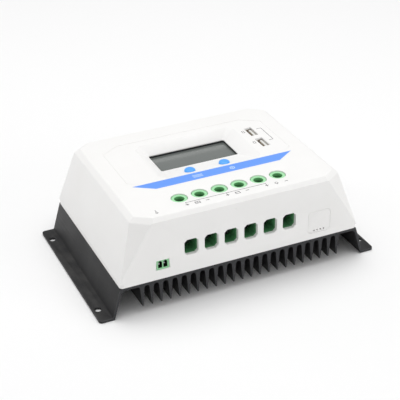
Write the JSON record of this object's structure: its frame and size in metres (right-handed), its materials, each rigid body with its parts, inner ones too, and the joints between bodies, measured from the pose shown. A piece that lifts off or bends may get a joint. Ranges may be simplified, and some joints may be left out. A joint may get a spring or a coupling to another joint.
{
  "type": "solar charge controller",
  "caption": "Wall-mounted solar charge controller: white cover with recessed display and buttons on a finned heat sink with flanges, clamp terminals and charging sockets.",
  "frame": {"origin": "middle of the flanges' underside, the face that lies on the wall", "axes": "+X along the length, the charging sockets' side; +Y away from the cable entries; +Z out of the wall through the display"},
  "size_m": [0.213, 0.1288, 0.0706],
  "materials": {
    "black_anodised": "matt black anodised extrusion",
    "white_shell": "fine matt moulded plastic",
    "white_blank": "fine matt moulded plastic",
    "steel_screw": "zinc plated steel",
    "green_board": "solder mask over glass laminate",
    "brass_post": "turned brass",
    "grey_pad": "silicone gap pad",
    "black_package": "moulded epoxy",
    "can_sleeve": "shrink sleeve",
    "shunt_alloy": "resistance alloy strip",
    "sensor_lug": "tinned copper lug",
    "ferrite": "ferrite powder",
    "green_terminal": "glass filled nylon, satin",
    "pale_green": "moulded nylon, satin",
    "copper_bar": "tinned copper bar",
    "plated_screw": "zinc plated steel",
    "plated_cage": "nickel plated steel",
    "black_plastic": "moulded black plastic",
    "grey_glass": "grey reflective display glass",
    "light_guide": "frosted acrylic",
    "gold_contact": "gold flash",
    "tin_shell": "tinned steel sheet",
    "white_tongue": "moulded white nylon",
    "blue_button": "translucent blue silicone",
    "blue_print": "printed film"
  },
  "bodies": {
    "chassis": {"heat_sink": "black_anodised", "top_cover": "white_shell", "cover_screws": "steel_screw", "main_board": "green_board", "board_posts": "brass_post", "board_screws": "steel_screw", "thermal_pad": "grey_pad", "power_transistors": "black_package", "capacitors": "can_sleeve", "current_shunts": "shunt_alloy", "control_chips": "black_package", "heat_sensor": "sensor_lug", "regulator_coil": "ferrite", "terminal_block_1": "green_terminal", "terminal_block_2": "green_terminal", "terminal_block_3": "green_terminal", "terminal_block_4": "green_terminal", "terminal_block_5": "green_terminal", "terminal_block_6": "green_terminal", "terminal_bars": "copper_bar", "sensor_socket": "pale_green", "sensor_pins": "steel_screw", "port_blank": "white_blank", "service_header": "black_plastic", "display_board": "green_board", "display_screws": "steel_screw", "lcd_frame": "black_plastic", "lcd_glass": "grey_glass", "backlight": "light_guide", "switch_bodies": "black_plastic", "link_socket": "black_plastic", "link_pins": "gold_contact", "usb_shell_1": "tin_shell", "usb_shell_2": "tin_shell", "usb_tongue_1": "white_tongue", "usb_tongue_2": "white_tongue", "usb_contacts": "gold_contact", "stripe_label": "blue_print"},
    "clamp_screw_1": {"clamp_screw_1": "plated_screw"},
    "clamp_cage_1": {"clamp_cage_1": "plated_cage"},
    "clamp_screw_2": {"clamp_screw_2": "plated_screw"},
    "clamp_cage_2": {"clamp_cage_2": "plated_cage"},
    "clamp_screw_3": {"clamp_screw_3": "plated_screw"},
    "clamp_cage_3": {"clamp_cage_3": "plated_cage"},
    "clamp_screw_4": {"clamp_screw_4": "plated_screw"},
    "clamp_cage_4": {"clamp_cage_4": "plated_cage"},
    "clamp_screw_5": {"clamp_screw_5": "plated_screw"},
    "clamp_cage_5": {"clamp_cage_5": "plated_cage"},
    "clamp_screw_6": {"clamp_screw_6": "plated_screw"},
    "clamp_cage_6": {"clamp_cage_6": "plated_cage"},
    "menu_key": {"menu_button": "blue_button", "menu_switch_stem": "black_plastic"},
    "set_key": {"set_button": "blue_button", "set_switch_stem": "black_plastic"}
  },
  "joints": [
    {"name": "screw_1_turn", "type": "hinge", "parent": "chassis", "child": "clamp_screw_1", "pos_m": [-0.03832, -0.0454, 0.064], "axis": [0, 0, -1], "range_deg": [0, 3600.2]},
    {"name": "cage_1_rise", "type": "slide", "parent": "chassis", "child": "clamp_cage_1", "axis": [0, 0, 1], "range_m": [0, 0.008]},
    {"name": "screw_2_turn", "type": "hinge", "parent": "chassis", "child": "clamp_screw_2", "pos_m": [-0.02347, -0.0454, 0.064], "axis": [0, 0, -1], "range_deg": [0, 3600.2]},
    {"name": "cage_2_rise", "type": "slide", "parent": "chassis", "child": "clamp_cage_2", "axis": [0, 0, 1], "range_m": [0, 0.008]},
    {"name": "screw_3_turn", "type": "hinge", "parent": "chassis", "child": "clamp_screw_3", "pos_m": [-0.00863, -0.0454, 0.064], "axis": [0, 0, -1], "range_deg": [0, 3600.2]},
    {"name": "cage_3_rise", "type": "slide", "parent": "chassis", "child": "clamp_cage_3", "axis": [0, 0, 1], "range_m": [0, 0.008]},
    {"name": "screw_4_turn", "type": "hinge", "parent": "chassis", "child": "clamp_screw_4", "pos_m": [0.00622, -0.0454, 0.064], "axis": [0, 0, -1], "range_deg": [0, 3600.2]},
    {"name": "cage_4_rise", "type": "slide", "parent": "chassis", "child": "clamp_cage_4", "axis": [0, 0, 1], "range_m": [0, 0.008]},
    {"name": "screw_5_turn", "type": "hinge", "parent": "chassis", "child": "clamp_screw_5", "pos_m": [0.02107, -0.0454, 0.064], "axis": [0, 0, -1], "range_deg": [0, 3600.2]},
    {"name": "cage_5_rise", "type": "slide", "parent": "chassis", "child": "clamp_cage_5", "axis": [0, 0, 1], "range_m": [0, 0.008]},
    {"name": "screw_6_turn", "type": "hinge", "parent": "chassis", "child": "clamp_screw_6", "pos_m": [0.03592, -0.0454, 0.064], "axis": [0, 0, -1], "range_deg": [0, 3600.2]},
    {"name": "cage_6_rise", "type": "slide", "parent": "chassis", "child": "clamp_cage_6", "axis": [0, 0, 1], "range_m": [0, 0.008]},
    {"name": "menu_press", "type": "slide", "parent": "chassis", "child": "menu_key", "axis": [0, 0, -1], "range_m": [0, 0.0005], "stiffness_N_per_m": 3000},
    {"name": "set_press", "type": "slide", "parent": "chassis", "child": "set_key", "axis": [0, 0, -1], "range_m": [0, 0.0005], "stiffness_N_per_m": 3000}
  ],
  "couplings": [
    {"joint": "screw_1_turn", "follows": "cage_1_rise", "rad_per_m": 7854},
    {"joint": "screw_2_turn", "follows": "cage_2_rise", "rad_per_m": 7854},
    {"joint": "screw_3_turn", "follows": "cage_3_rise", "rad_per_m": 7854},
    {"joint": "screw_4_turn", "follows": "cage_4_rise", "rad_per_m": 7854},
    {"joint": "screw_5_turn", "follows": "cage_5_rise", "rad_per_m": 7854},
    {"joint": "screw_6_turn", "follows": "cage_6_rise", "rad_per_m": 7854}
  ]
}
